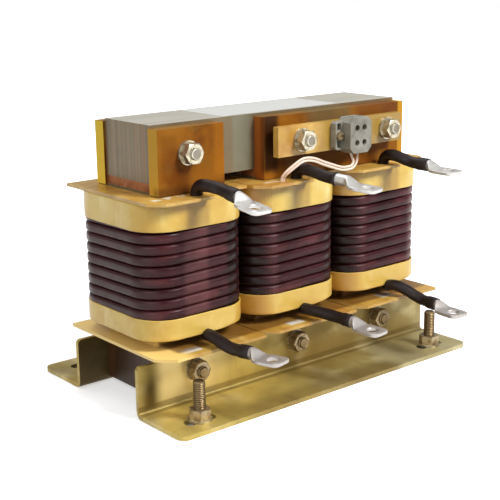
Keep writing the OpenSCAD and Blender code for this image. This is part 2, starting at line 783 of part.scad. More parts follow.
// A lug points along +X with its barrel's axis on the X axis and its palm below
module lug() {
    palm_top = -lug_barrel_d / 2 + lug_palm_thickness;
    palm_start = lug_barrel_length + lug_neck_length;
    color("#c9c9c6") {
        difference() {
            union() {
                rotate([0, 90, 0]) cylinder(h = lug_barrel_length + stub, d = lug_barrel_d);
                translate([lug_barrel_length, 0, 0]) rotate([90, 0, 0])
                    translate([0, 0, -lug_barrel_d / 2]) linear_extrude(lug_barrel_d)
                    polygon([[0, -lug_barrel_d / 2], [lug_neck_length + stub, -lug_barrel_d / 2],
                        [lug_neck_length + stub, palm_top], [lug_neck_length, palm_top],
                        [0, lug_barrel_d / 4]]);
                translate([lug_barrel_length + stub, 0, palm_top - lug_palm_thickness])
                    linear_extrude(lug_palm_thickness) lug_palm();
            }
            translate([-over, 0, 0]) rotate([0, 90, 0])
                cylinder(h = lug_barrel_length + over, d = lead_d + 2 * thread_play);
            translate([palm_start + lug_palm_length - lug_palm_width / 2, 0, palm_top - lug_palm_thickness - over])
                cylinder(h = lug_palm_thickness + 2 * over, d = lug_hole_d);
        }
    }
}

module lug_palm() {
    end = lug_neck_length - stub + lug_palm_length;
    half = lug_palm_width / 2;
    corner = half / 2;
    polygon([[0, -lug_barrel_d / 2], [lug_neck_length - stub, -half], [end - corner, -half],
        [end, -half + corner], [end, half - corner], [end - corner, half],
        [lug_neck_length - stub, half], [0, lug_barrel_d / 2]]);
}

module placed_lug(s, i) {
    translate(lead_end(s, i)) rotate([0, 0, lead_swing(s)[i] - 90]) rotate([0, lead_drop(s)[i], 0]) lug();
}

module leads(s) {
    for (i = [0 : 2]) at_coil(i) lead(s, i);
}

module sleeves(s) {
    for (i = [0 : 2]) at_coil(i) sleeve(s, i);
}

module lugs(s) {
    for (i = [0 : 2]) at_coil(i) placed_lug(s, i);
}

function lead_swing(s) = s > 0 ? upper_swing : lower_swing;
function lead_drop(s) = s > 0 ? upper_drop : lower_drop;
function lead_side(s) = s > 0 ? upper_side_share : lower_side_share;
function lead_sink(s) = s > 0 ? upper_sink_share : lower_sink_share;
function lead_crest(s) = s > 0 ? upper_crest : lower_crest;
function lead_cover(s) = s > 0 ? upper_cover : lower_cover;

// Terminal bar and block
module terminal_bar() {
    color("#d9b25a") difference() {
        translate([-bar_left, -bar_face, clamp_bolt_z - bar_height / 2])
            cube([bar_length, bar_thickness, bar_height]);
        for (x = [bolt_x[1], bolt_x[2]]) rod_y(x, clamp_bolt_z, -bar_face - over, -bar_back + over, bolt_d + 2 * play);
        for (e = [-1, 1]) rod_y(block_x + e * (block_width + ear_width) / 2, clamp_bolt_z,
            -bar_face - over, -bar_back + over, fixing_screw_d + 2 * thread_play);
    }
}

module bar_spacers() {
    for (x = [bolt_x[1], bolt_x[2]]) color("#cfc9b4") difference() {
        rod_y(x, clamp_bolt_z, -bar_back, -clamp_face, hex_flats);
        rod_y(x, clamp_bolt_z, -bar_back - over, -clamp_face + over, bolt_d + 2 * play);
    }
}

module at_poles() {
    for (e = [-1, 1]) translate([block_x + e * pole_pitch / 2, -block_y - pole_depth, clamp_bolt_z]) children();
}

module at_wells() {
    at_poles() for (e = [-1, 1]) translate([0, 0, e * well_pitch / 2]) children();
}

module chamfered_rect(w, h, c) {
    polygon([[-w / 2 + c, -h / 2], [w / 2 - c, -h / 2], [w / 2, -h / 2 + c], [w / 2, h / 2 - c],
        [w / 2 - c, h / 2], [-w / 2 + c, h / 2], [-w / 2, h / 2 - c], [-w / 2, -h / 2 + c]]);
}

module terminal_block() {
    color("#9a9d9c") difference() {
        union() {
            translate([block_x, -block_y, clamp_bolt_z]) rotate([90, 0, 0]) linear_extrude(block_depth)
                chamfered_rect(block_width, block_height, block_chamfer);
            translate([block_x, -block_y, clamp_bolt_z]) rotate([90, 0, 0]) linear_extrude(ear_depth)
                chamfered_rect(block_width + 2 * ear_width, ear_height, ear_chamfer);
        }
        for (e = [-1, 1], f = [-1, 1])
            translate([block_x + e * (block_width + ear_width) / 2, -block_y - ear_depth,
                clamp_bolt_z + f * (ear_height - ear_recess_height - 2 * ear_rim) / 2])
                cube([ear_width - 2 * ear_rim, 2 * ear_recess_depth, ear_recess_height], center = true);
        at_poles() {
            translate([0, 0, -clamp_tube_length / 2 - seat])
                cylinder(h = clamp_tube_length + 2 * seat, d = clamp_tube_d + 2 * seat);
            translate([0, 0, -block_height / 2 - over]) cylinder(h = block_height + 2 * over, d = entry_d);
        }
        at_wells() rotate([90, 0, 0]) cylinder(h = block_depth, d = well_d);
        for (e = [-1, 1]) rod_y(block_x + e * (block_width + ear_width) / 2, clamp_bolt_z,
            -block_y - ear_depth - over, -block_y + over, fixing_screw_d + 2 * play);
    }
}

module block_clamps() {
    color("#b59a4a") difference() {
        at_poles() translate([0, 0, -clamp_tube_length / 2]) cylinder(h = clamp_tube_length, d = clamp_tube_d);
        at_poles() translate([0, 0, -clamp_tube_length / 2 - over])
            cylinder(h = clamp_tube_length + 2 * over, d = clamp_bore_d);
        at_wells() rotate([90, 0, 0]) cylinder(h = block_depth, d = block_screw_d + 2 * thread_play);
    }
}

module block_screws() {
    screw_in = clamp_bore_d / 2 - stub / 2;
    screw_length = block_depth - pole_depth - well_sink - screw_in;
    color("#c4c4c0") at_wells() translate([0, -screw_in, 0]) rotate([90, 0, 0])
        slotted_rod(screw_length, block_screw_d);
    color("#c4c4c0") for (e = [-1, 1])
        translate([block_x + e * (block_width + ear_width) / 2, -bar_back, clamp_bolt_z]) rotate([90, 0, 0]) {
            cylinder(h = bar_thickness + ear_depth, d = fixing_screw_d);
            translate([0, 0, bar_thickness + ear_depth]) slotted_rod(fixing_head_height, fixing_head_d);
        }
}

module slotted_rod(height, d) {
    difference() {
        cylinder(h = height, d = d);
        translate([-d, -d / 10, height - d / 6]) cube([2 * d, d / 5, d]);
    }
}

// Thermal switch and its two wires
module thermal_switch() {
    color("#3a3a3c") translate([switch_x - switch_w / 2, -switch_y - switch_d / 2, switch_bottom])
        cube([switch_w, switch_d, switch_h]);
}

// Route of the wire pair's middle line, from the switch up over the middle lead to the block, as X,
// distance out from the turns' front and height above the upper flange plate
wire_rows = [
    [-14.5, -3, -4], [-14.5, -3, 0.5], [-14.4, -1.6, 3.2], [-12.6, 0.8, 6.4], [-8.4, 3, 10], [-3, 4, 12.9],
    [2.5, 4.3, 13.3], [9, 4.7, 11.9], [15, 5, 9.4], [24, 5.5, 6.2], [31, 5.8, 3.8], [36.5, 6, 3],
    [42, 6.6, 3.6], [45.3, 6.6, 6.6], [45.5, 6.5, 10.5]
];
wire_route = [for (r = wire_rows) [r[0], -coil_depth / 2 - r[1], upper_plate_top + r[2]]];
wire_sides = 8;
wire_gap = 0.2;
// The two ends of each wire run straight into the switch and the block
function wire_place(e, k) =
    let (last = len(wire_route) - 1, a = wire_route[max(k - 1, 0)], b = wire_route[min(k + 1, last)],
         t = unit(b - a), side = unit(cross(t, [0, -1, 0])),
         spread = (wire_d + wire_gap) / 2)
    [wire_route[k] + e * spread * side, t, [0, 1, 0], 0];

module wire(e) {
    last = len(wire_route) - 1;
    top = [block_x + e * pole_pitch / 2, -block_y - pole_depth, clamp_bolt_z - clamp_tube_length / 2];
    low = [switch_wire_x + e * (wire_d + wire_gap) / 2, -switch_y, switch_bottom + switch_h + seat / 2];
    places = concat(
        [[low, [0, 0, 1], [0, 1, 0], 0]],
        [for (k = [1 : last - 1]) wire_place(e, k)],
        [[top - [0, 0, block_height / 2 - clamp_tube_length / 2 + stub / 2], [0, 0, 1], [0, 1, 0], 0],
         [top, [0, 0, 1], [0, 1, 0], 0]]
    );
    points = [for (p = places) each wire_ring(p)];
    color("#e3c4a4") polyhedron(points, tube_faces(len(places), wire_sides));
}

function wire_ring(place) =
    let (t = place[1], u = unit(place[2] - (place[2] * t) * t), w = cross(t, u))
    [for (k = [0 : wire_sides - 1]) place[0] + wire_d / 2 * (cos(360 * k / wire_sides) * u
        + sin(360 * k / wire_sides) * w)];

module switch_wires() {
    for (e = [-1, 1]) wire(e);
}

front_bracket();
rear_bracket();
packing(-1);  // front_packing
packing(1);  // rear_packing
yoke(yoke_lift, lower_yoke_height, yoke_bolt_z);  // lower_yoke
yoke(upper_yoke_bottom, upper_yoke_height, clamp_bolt_z);  // upper_yoke
at_coil(0) limb();  // left_limb
at_coil(1) limb();  // middle_limb
at_coil(2) limb();  // right_limb
at_coil(0) gap_shim();  // left_gap_shim
at_coil(1) gap_shim();  // middle_gap_shim
at_coil(2) gap_shim();  // right_gap_shim
at_coil(0) former();  // left_former
at_coil(1) former();  // middle_former
at_coil(2) former();  // right_former
at_coil(0) inner_winding();  // left_inner_winding
at_coil(1) inner_winding();  // middle_inner_winding
at_coil(2) inner_winding();  // right_inner_winding
at_coil(0) wrap();  // left_wrap
at_coil(1) wrap();  // middle_wrap
at_coil(2) wrap();  // right_wrap
at_coil(0) outer_turns();  // left_outer_turns
at_coil(1) outer_turns();  // middle_outer_turns
at_coil(2) outer_turns();  // right_outer_turns
at_coil(0) lower_collar();  // left_lower_collar
at_coil(1) lower_collar();  // middle_lower_collar
at_coil(2) lower_collar();  // right_lower_collar
at_coil(0) upper_collar();  // left_upper_collar
at_coil(1) switch_collar();  // middle_upper_collar
at_coil(2) upper_collar();  // right_upper_collar
at_coil(0) lower_plate();  // left_lower_plate
at_coil(1) lower_plate();  // middle_lower_plate
at_coil(2) lower_plate();  // right_lower_plate
at_coil(0) upper_plate();  // left_upper_plate
at_coil(1) switch_plate();  // middle_upper_plate
at_coil(2) upper_plate();  // right_upper_plate
short_clamp(-1);  // front_left_clamp
long_clamp(-1);  // front_right_clamp
short_clamp(1);  // rear_left_clamp
long_clamp(1);  // rear_right_clamp
clamp_bolts();
clamp_nuts();
yoke_bolts();
yoke_nuts();
washers();
foot_studs();
foot_nuts();
leads(1);  // upper_leads
leads(-1);  // lower_leads
sleeves(1);  // upper_sleeves
sleeves(-1);  // lower_sleeves
lugs(1);  // upper_lugs
lugs(-1);  // lower_lugs
terminal_bar();
bar_spacers();
terminal_block();
block_clamps();
block_screws();
thermal_switch();
switch_wires();
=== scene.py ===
"""Looks of a three-phase reactor: three wound coils on a laminated core, seen from its lead side."""
import json
import math

import bmesh
import bpy
from mathutils import Matrix, Vector, noise

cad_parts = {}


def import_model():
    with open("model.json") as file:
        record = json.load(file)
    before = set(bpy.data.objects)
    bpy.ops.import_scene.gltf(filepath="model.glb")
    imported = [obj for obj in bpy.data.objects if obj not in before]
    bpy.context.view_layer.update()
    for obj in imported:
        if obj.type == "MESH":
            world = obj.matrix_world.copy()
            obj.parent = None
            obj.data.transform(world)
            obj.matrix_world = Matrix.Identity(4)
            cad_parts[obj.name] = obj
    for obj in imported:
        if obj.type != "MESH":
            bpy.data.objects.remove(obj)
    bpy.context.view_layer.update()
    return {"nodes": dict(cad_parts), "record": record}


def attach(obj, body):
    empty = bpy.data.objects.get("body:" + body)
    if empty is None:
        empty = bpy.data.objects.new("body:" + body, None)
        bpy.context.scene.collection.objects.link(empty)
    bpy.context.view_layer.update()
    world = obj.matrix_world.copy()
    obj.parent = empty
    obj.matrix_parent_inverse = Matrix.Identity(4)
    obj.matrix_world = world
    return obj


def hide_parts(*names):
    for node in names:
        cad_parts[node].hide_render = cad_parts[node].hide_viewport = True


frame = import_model()
NODES = frame["nodes"]
MM = 0.001
X, Y, Z = range(3)

# Camera, solved from the photograph, in metres and degrees
CAMERA_PLACE = (-0.4993, -0.5948, 0.2808)
CAMERA_YAW = 39.512
CAMERA_PITCH = 14.259
CAMERA_ROLL = -0.750
CAMERA_LENS = 78.83
CAMERA_SENSOR = 36
CAMERA_NEAR, CAMERA_FAR = 0.05, 20

# Light and surround, in metres and watts
LIGHT_TARGET = Vector((0, 0, 0.09))
LIGHTS = (("key", (0.34, -1.0, 1.02), (0.42, 0.42), 22),
          ("fill", (-1.4, -0.5, 0.9), (1.2, 1.0), 11),
          ("top", (0.1, 0.6, 1.6), (1.4, 1.0), 10))
WORLD_LIGHT = 0.32
FLOOR_HALF = 6.0
FLOOR_DROP = 0.0003
# The slots in the feet, as the middle and half size along each axis
SLOT_SHADE = ((X, 0.1095, 0.014), (Y, 0.0695, 0.0065))

# Coils, in millimetres, as in the CAD source
COIL_X = (-86, 0, 86)
SIDES = ("left", "middle", "right")
COIL_WIDTH = 83
COIL_DEPTH = 92
COIL_CORNER = 23
VISIBLE_TURNS = 8
TURN_COUNT = VISIBLE_TURNS + 1
TURN_DEPTH = 6
TURN_GAP = 0.55
SEAT = 0.1
TURNS_BOTTOM = 64.5
BAND_HEIGHT = 58
TURNS_TOP = TURNS_BOTTOM + BAND_HEIGHT
LOWER_COLLAR_BOTTOM = 50
UPPER_PLATE_BOTTOM = 141
COLLAR_PROUD = 0.8
PITCH = BAND_HEIGHT / VISIBLE_TURNS
TURN_HEIGHT = PITCH - TURN_GAP
HELIX_X = (COIL_WIDTH - TURN_DEPTH) / 2
HELIX_Y = (COIL_DEPTH - TURN_DEPTH) / 2
HELIX_CORNER = COIL_CORNER - TURN_DEPTH / 2
FLAT_X = HELIX_X - HELIX_CORNER
FLAT_Y = HELIX_Y - HELIX_CORNER

# Leads, in millimetres and degrees, as in the CAD source
UPPER, LOWER = 1, -1
LEAD_D = 5.4
SLEEVE_D = 8.2
LEAD_X = {UPPER: -2, LOWER: 0.5}
STUB = 2
SIDE_BEND = 5
FRONT_BEND = {UPPER: 7, LOWER: 4}
RUN_Z = {UPPER: 150, LOWER: 49.6}
REACH = {UPPER: (24.6, 30.012, 26.568), LOWER: (30.2, 33.0992, 33.522)}
CREST = {UPPER: (1, 1, 1), LOWER: (1, 1, 6)}
SWING = {UPPER: (3, 14.5, 6), LOWER: (14, 7, -4)}
DROP = {UPPER: (9.4, 4.4, 1.2), LOWER: (-1.8, 1.8, 0)}
SIDE_SHARE = {UPPER: (0.15, 0.143, 0.18), LOWER: (0.157, 0.236, 0.278)}
SINK_SHARE = {UPPER: (0.079, 0.118, 0.154), LOWER: (0.162, 0.056, 0.218)}
COVER = {UPPER: (9.5, 2, 9.5), LOWER: (8.5, 8, 9.5)}
LEAD_RUN_IN = 3
LUG_BARREL_LENGTH = 10
LUG_NECK_LENGTH = 5
LEAD_SEAT = 8
LEAD_SLACK = 0.05
LUG_SLACK = 0.1
LUG_BARREL_D = 7.7
LUG_PALM_THICKNESS = 2.4
LUG_PALM_WIDTH = 16.5
LUG_PALM_LENGTH = 19
LUG_HOLE_D = 8.4


def srgb(r, g, b):
    """An opaque colour given in 0 to 255, as linear values."""
    shares = [c / 255 for c in (r, g, b)]
    return tuple(c / 12.92 if c <= 0.04 else ((c + 0.055) / 1.055) ** 2.4 for c in shares) + (1,)


# Materials
COAT_ROUGHNESS = 0.2
NOISE_ROUGHNESS = 0.55


class Nodes:
    """A node tree, with small helpers that add to it."""

    def __init__(self, tree):
        self.tree = tree

    def add(self, kind, **values):
        made = self.tree.nodes.new("ShaderNode" + kind)
        for key, value in values.items():
            setattr(made, key, value)
        return made

    def feed(self, socket, value):
        """Links the output of a node, and sets any other value."""
        if isinstance(value, bpy.types.NodeSocket):
            self.tree.links.new(value, socket)
        else:
            socket.default_value = value

    def maths(self, operation, *values):
        made = self.add("Math", operation=operation)
        for socket, value in zip(made.inputs, values):
            self.feed(socket, value)
        return made.outputs["Value"]

    def product(self, first, *others):
        for value in others:
            first = self.maths("MULTIPLY", first, value)
        return first

    def part(self, vector, axis):
        """Part of a vector along X, Y or Z."""
        made = self.add("SeparateXYZ")
        self.feed(made.inputs["Vector"], vector)
        return made.outputs[axis]

    def ramp(self, value, low, high, start=0.0, end=1.0):
        """Value taken from low..high to start..end, clamped."""
        made = self.add("MapRange", interpolation_type="SMOOTHSTEP")
        for name, number in (("Value", value), ("From Min", low), ("From Max", high),
                             ("To Min", start), ("To Max", end)):
            self.feed(made.inputs[name], number)
        return made.outputs["Result"]

    def mix(self, fac, a, b):
        """Colour a where fac is 0 and colour b where it is 1."""
        made = self.add("Mix", data_type="RGBA")
        for name, value in (("A", a), ("B", b), ("Factor", fac)):
            self.feed(made.inputs[name], value)
        return made.outputs["Result"]

    def ray_is(self, *kinds):
        """1 for rays of the two kinds named."""
        rays = self.add("LightPath")
        return self.maths("MAXIMUM", *(rays.outputs[f"Is {kind} Ray"] for kind in kinds))


class Paint(Nodes):
    """A Principled material, with helpers for its procedural variation."""

    def __init__(self, name, colour, rough, metal=0.0, coat=0.0, specular=0.5):
        self.material = bpy.data.materials.new(name)
        self.material.use_nodes = True
        super().__init__(self.material.node_tree)
        self.shader = self.tree.nodes["Principled BSDF"]
        for key, value in (("Base Color", srgb(*colour)), ("Roughness", rough), ("Metallic", metal),
                           ("Specular IOR Level", specular), ("Coat Weight", coat),
                           ("Coat Roughness", COAT_ROUGHNESS)):
            self.shader.inputs[key].default_value = value
        self.place = self.add("TexCoord").outputs["Object"]
        self.normal = self.add("NewGeometry").outputs["True Normal"]
        self.colour = srgb(*colour)
        self.height = None

    def noise(self, scale, stretch=(1, 1, 1), detail=4.0, shift=(0, 0, 0)):
        """Noise over the object's frame, with scale in waves per metre and a stretch for each axis."""
        mapping = self.add("Mapping")
        for key, value in (("Scale", stretch), ("Location", shift), ("Vector", self.place)):
            self.feed(mapping.inputs[key], value)
        made = self.add("TexNoise")
        for key, value in (("Scale", scale), ("Detail", detail), ("Roughness", NOISE_ROUGHNESS),
                           ("Vector", mapping.outputs["Vector"])):
            self.feed(made.inputs[key], value)
        return made.outputs["Fac"]

    def at(self, axis, low, high, start=0.0, end=1.0):
        """Start to end, as the place along an axis goes from low to high in millimetres."""
        return self.ramp(self.part(self.place, axis), low * MM, high * MM, start, end)

    def facing(self, axis, low, high, start=0.0, end=1.0):
        """Start to end, as the true face normal goes from low to high along an axis."""
        return self.ramp(self.part(self.normal, axis), low, high, start, end)

    def patch(self, x, y, z, soft):
        """1 inside a box given in millimetres, fading inwards over a soft edge."""
        return self.product(*(self.at(axis, a, b) for axis, (low, high) in enumerate((x, y, z))
                              for a, b in ((low, low + soft), (high, high - soft))))

    def tint(self, fac, colour):
        """Blends a colour over what is there, by fac."""
        self.colour = self.mix(fac, self.colour, srgb(*colour))

    def clouds(self, colour, strength, low, high, scale, stretch=(1, 1, 1), detail=4.0, shift=(0, 0, 0)):
        """Blends a colour in by up to strength, as a noise goes from low to high."""
        self.tint(self.ramp(self.noise(scale, stretch, detail, shift), low, high, 0, strength), colour)

    def spot(self, colour, strength, x, y, z, soft):
        """Blends a colour in by strength, inside a box given in millimetres."""
        self.tint(self.product(self.patch(x, y, z, soft), strength), colour)

    def bump(self, value, depth, strength):
        """Relief of a depth in metres."""
        made = self.add("Bump")
        for key, number in (("Distance", depth), ("Strength", strength), ("Height", value)):
            self.feed(made.inputs[key], number)
        if self.height is not None:
            self.feed(made.inputs["Normal"], self.height)
        self.height = made.outputs["Normal"]

    def gloss(self, scale, detail, low, high):
        """Roughness that wanders between two values."""
        wander = self.ramp(self.noise(scale, detail=detail), 0.3, 0.7, low, high)
        self.feed(self.shader.inputs["Roughness"], wander)

    def done(self):
        self.feed(self.shader.inputs["Base Color"], self.colour)
        if self.height is not None:
            self.feed(self.shader.inputs["Normal"], self.height)
        return self.material


def chromated_steel():
    """Yellow chromate, warm at the left end and paler to the right, with soft clouds and runs."""
    p = Paint("chromated steel", (206, 182, 98), 0.34, metal=0.5)
    p.tint(p.at(X, -60, 60, 0, 0.75), (170, 158, 108))
    p.tint(p.at(X, 50, 130, 0, 0.6), (188, 180, 136))
    p.clouds((156, 130, 66), 0.8, 0.42, 0.66, 13, detail=3)
    p.clouds((234, 222, 176), 0.5, 0.5, 0.7, 22, (1, 1, 1.6), 3, (3, 1, 2))
    p.clouds((118, 98, 50), 0.45, 0.48, 0.64, 17, detail=3, shift=(8, 5, 2))
    p.clouds((128, 104, 56), 0.4, 0.52, 0.74, 30, (2.2, 1, 0.3), 3)
    p.clouds((126, 106, 80), 0.3, 0.62, 0.8, 90, (0.3, 1, 3), shift=(7, 7, 1))
    # The front web: a painted dark reflection band near its left end, a painted bright reflection after it,
    # and painted shade towards its lower edge
    web = p.product(p.at(Y, -30, -34), p.at(Z, 3, 7))
    band = p.product(web, p.at(X, -134, -126), p.at(X, -112, -124))
    p.tint(p.product(band, p.at(Z, 32, 18, 0.3, 0.95)), (78, 60, 14))
    p.tint(p.product(web, p.at(X, -125, -113), p.at(X, -50, -90)), (250, 226, 156))
    p.tint(p.product(web, p.at(Z, 22, 6), 0.35), (110, 84, 36))
    # Painted shade on the front bend, then the middle and the right end of the front foot
    p.spot((104, 84, 36), 0.6, (-200, 200), (-43, -36), (0, 9), 1.5)
    p.spot((116, 90, 44), 0.5, (-80, 70), (-110, -62), (-40, 40), 14)
    p.spot((190, 182, 142), 0.45, (56, 160), (-110, -36), (-40, 40), 14)
    # Painted shade on the rear web's inner face
    p.tint(p.product(p.at(Y, 20, 30), p.facing(Y, -0.4, -0.8), 0.85), (58, 40, 18))
    p.gloss(40, 5, 0.38, 0.54)
    p.bump(p.noise(700, (0.3, 1, 1), 2), 0.00002, 0.4)
    return p.done()


def shim_board():
    p = Paint("shim board", (160, 100, 58), 0.5, specular=0.3)
    p.clouds((112, 56, 26), 0.8, 0.42, 0.66, 70, detail=3)
    p.clouds((196, 140, 110), 0.6, 0.52, 0.72, 110, detail=3, shift=(2, 5, 1))
    return p.done()


def dark_board():
    """Board between the lower yoke and the feet, painted dark as the shade under the plates."""
    p = Paint("dark board", (66, 40, 18), 0.5, specular=0.3)
    p.clouds((40, 24, 12), 0.6, 0.45, 0.7, 60, (1, 1, 0.3))
    return p.done()


def laminate():
    """Varnished brown board, paler along its cut edges."""
    p = Paint("laminate", (138, 84, 14), 0.5, specular=0.12)
    p.clouds((98, 50, 8), 0.85, 0.42, 0.64, 30, detail=5)
    p.clouds((150, 98, 28), 0.7, 0.5, 0.7, 24, (1, 1, 1.4), shift=(5, 2, 1))
    p.clouds((106, 96, 44), 0.5, 0.58, 0.76, 60, (1, 1, 1.2), shift=(1, 9, 1))
    # End faces: gold, but brown at the left end of the long front board, and brighter at the rear boards' ends
    p.tint(p.ramp(p.maths("ABSOLUTE", p.part(p.normal, X)), 0.5, 0.9, 0, 0.85), (206, 160, 58))
    left_end = p.facing(X, -0.5, -0.9)
    p.tint(p.product(left_end, p.patch((-36, -24), (-45, -20), (140, 190), 0.3)), (150, 84, 30))
    p.tint(p.product(left_end, p.at(Y, 20, 25)), (232, 196, 66))
    p.tint(p.facing(Z, 0.5, 0.9, 0, 0.6), (128, 96, 44))
    # The long front board, darker beside the bar and with painted shade below the bar, then the short one
    p.spot((30, 12, 4), 0.85, (-28, -10), (-44, -30), (146, 192), 5)
    p.spot((46, 20, 6), 0.5, (-20, 62), (-40, -30), (144, 162), 5)
    p.spot((62, 32, 8), 0.6, (-116, -54), (-46, -28), (138, 151), 5)
    p.spot((112, 60, 10), 0.5, (-112, -95), (-46, -28), (150, 184), 5)
    p.spot((168, 104, 22), 0.55, (-70, -54), (-46, -28), (150, 190), 5)
    # The long front board above the bar, and its right edge
    p.spot((102, 92, 60), 0.6, (8, 64), (-90, 0), (158, 215), 14)
    p.spot((96, 50, 22), 0.6, (54, 112), (-90, 0), (158, 215), 14)
    p.spot((206, 150, 44), 0.8, (105, 114), (-46, -28), (140, 190), 2)
    p.bump(p.noise(260, detail=3), 0.00006, 0.3)
    return p.done()


def core_steel():
    """Laminations stacked along Y, with their edges on the ends and the top."""
    p = Paint("core steel", (128, 112, 84), 0.4, metal=0.3)
    streak = p.noise(900, (0.004, 1, 0.004), 2)
    p.tint(p.ramp(streak, 0.35, 0.65, 0, 0.6), (92, 78, 56))
    p.clouds((132, 96, 56), 0.6, 0.5, 0.75, 160, (0.03, 1, 0.03), 3, (1, 7, 2))
    p.clouds((88, 76, 52), 0.5, 0.5, 0.72, 36, shift=(2, 2, 9))
    top = p.facing(Z, 0.5, 0.9)
    wear = p.ramp(p.noise(120, (0.05, 1, 1), shift=(5, 3, 1)), 0.45, 0.7, 0, 0.6)
    p.tint(p.product(top, 0.85), (196, 192, 180))
    p.tint(p.product(top, wear), (150, 142, 124))
    # The lower yoke is painted dark as shade under the plates, and the upper yoke has a pale patch on top and
    # a cooler one in front
    p.tint(p.at(Z, 44, 38, 0, 0.95), (54, 30, 12))
    p.spot((214, 214, 210), 1, (-50, 55), (-23, 25.5), (180, 200), 0.3)
    p.spot((128, 134, 116), 0.45, (-46, -26), (-30, -20), (140, 190), 4)
    p.bump(streak, 0.00012, 0.6)
    return p.done()


def former_board():
    p = Paint("former board", (200, 158, 74), 0.36, coat=0.22)
    p.clouds((172, 128, 46), 0.8, 0.42, 0.66, 34)
    p.clouds((228, 196, 120), 0.5, 0.52, 0.76, 60, detail=3, shift=(4, 4, 4))
    p.clouds((166, 104, 44), 0.55, 0.52, 0.68, 44, shift=(7, 1, 5))
    # Bare marks on the lower plates
    for x, y in (((-109, -92), (-53.5, -44)), ((-18, -3), (-55, -46)), ((77, 92), (-51, -40))):
        scuffed = p.ramp(p.noise(200), 0.3, 0.5, 0.45, 0.9)
        p.tint(p.product(p.patch(x, y, (36, 48), 1.5), scuffed), (214, 214, 204))
    # Painted light on the left lower plate's end, painted shade below the collars, and the bar
    p.tint(p.product(p.at(X, -100, -112), p.at(Z, 60, 50)), (250, 214, 128))
    p.spot((92, 50, 16), 0.7, (-112, 140), (-51, -20), (36, 54), 4)
    p.tint(p.product(p.at(Z, 148, 152), p.at(X, 8, 30), 0.9), (152, 120, 46))
    # Worn marks on the upper plates
    worn = p.ramp(p.noise(150, shift=(6, 2, 3)), 0.42, 0.6)
    for x, y in (((-122, -92), (-44, -36)), ((-33, -6), (-46, -40))):
        p.tint(p.product(p.patch(x, y, (136, 150), 2.5), worn), (226, 222, 206))
    p.bump(p.noise(300, detail=3), 0.00005, 0.3)
    return p.done()


def insulation():
    """Wrapped tape under varnish, with laps, folds in its relief and darker runs, and with painted shadows and
    shade.
    """
    p = Paint("insulation", (222, 190, 94), 0.36, coat=0.25)
    p.clouds((206, 158, 54), 0.75, 0.42, 0.68, 38, (1, 1, 0.8), 5)
    p.clouds((242, 220, 144), 0.6, 0.52, 0.74, 64, (1, 1, 0.5), shift=(4, 1, 4))
    p.clouds((166, 118, 38), 0.45, 0.6, 0.76, 46, (0.5, 0.5, 3), shift=(9, 3, 4))
    # Painted shadows of the leads on the fronts of the upper collars, duller lower fronts, and painted shade
    # on the sides between the coils
    for x in ((-101, -78), (-10, 10), (82, 99)):
        p.spot((154, 118, 40), 0.65, x, (-60, -36), (120, 145), 5)
    p.tint(p.product(p.at(Z, 70, 66), p.facing(Y, -0.3, -0.7), 0.4), (204, 164, 72))
    p.tint(p.product(p.at(X, -50, -45), p.facing(X, -0.15, -0.7), 0.7), (176, 120, 44))
    p.bump(p.noise(60, (1, 1, 2.2), 3), 0.0009, 0.45)
    p.bump(p.noise(240, (1, 1, 0.6)), 0.0002, 0.35)
    return p.done()


# The wrap behind the turns is dark as painted shade, so the gaps at the collars read as shadow
def winding_wrap():
    p = Paint("winding wrap", (44, 28, 24), 0.5)
    p.clouds((26, 16, 14), 0.5, 0.45, 0.7, 80, detail=3)
    return p.done()


def enamelled_copper():
    p = Paint("enamelled copper", (62, 24, 28), 0.36, coat=0.05, specular=0.18)
    p.clouds((36, 11, 16), 0.7, 0.42, 0.68, 50, (1, 1, 3))
    p.clouds((108, 54, 56), 0.6, 0.52, 0.74, 32, (1, 1, 3), 3, (3, 8, 1))
    # Painted reflection of the fill light on the faces towards -X
    p.tint(p.facing(X, -0.5, -0.9, 0, 0.5), (70, 50, 50))
    # Painted highlights on the fronts, painted shade at the right ends of the left and middle coils beside
    # their neighbours, a lighter right end on the right coil, and painted shade on the sides between the coils
    for x, strength, colour in (((-104, -79), 0.4, (120, 74, 75)), ((-37, -19), 0.4, (110, 66, 66)),
                                ((47, 67), 0.4, (106, 62, 62)), ((-69, -41), 0.85, (22, 10, 7)),
                                ((19, 47), 0.6, (34, 20, 15)), ((107, 133), 0.4, (120, 90, 86))):
        p.spot(colour, strength, x, (-60, -36), (50, 135), 6)
    p.tint(p.product(p.at(X, -50, -45), p.facing(X, -0.15, -0.6), 0.85), (16, 7, 6))
    p.gloss(90, 3, 0.28, 0.46)
    p.bump(p.noise(200, (1, 1, 0.5), 3), 0.00015, 0.3)
    return p.done()


def plated_steel():
    p = Paint("plated steel", (176, 158, 124), 0.32, metal=0.75)
    p.clouds((112, 88, 56), 0.7, 0.42, 0.66, 260)
    return p.done()


def bright_nut():
    p = Paint("bright nut", (196, 188, 166), 0.3, metal=0.8)
    p.clouds((128, 112, 82), 0.7, 0.42, 0.64, 300)
    return p.done()


def thread(name, axis, colour):
    """Plated M8 thread along one axis, as relief and painted shade in the grooves."""
    half_pitch = 1.25 / 2 * MM
    p = Paint(name, colour, 0.36, metal=0.7)
    turns = p.maths("PINGPONG", p.part(p.place, axis), half_pitch)
    p.tint(p.ramp(turns, 0.3 * MM, 0.1 * MM, 0, 0.75), (56, 36, 20))
    p.clouds((116, 88, 54), 0.5, 0.45, 0.7, 120, detail=3)
    p.bump(p.ramp(turns, 0, half_pitch), 0.0005, 0.9)
    return p.done()


def tinned_copper():
    """Bright on the upper lugs, and duller on the lower ones."""
    p = Paint("tinned copper", (208, 206, 202), 0.36, metal=0.6)
    p.clouds((160, 146, 136), 0.4, 0.48, 0.74, 120)
    p.tint(p.at(Z, 100, 90, 0, 0.55), (168, 156, 150))
    p.bump(p.noise(300, detail=3), 0.0001, 0.3)
    return p.done()


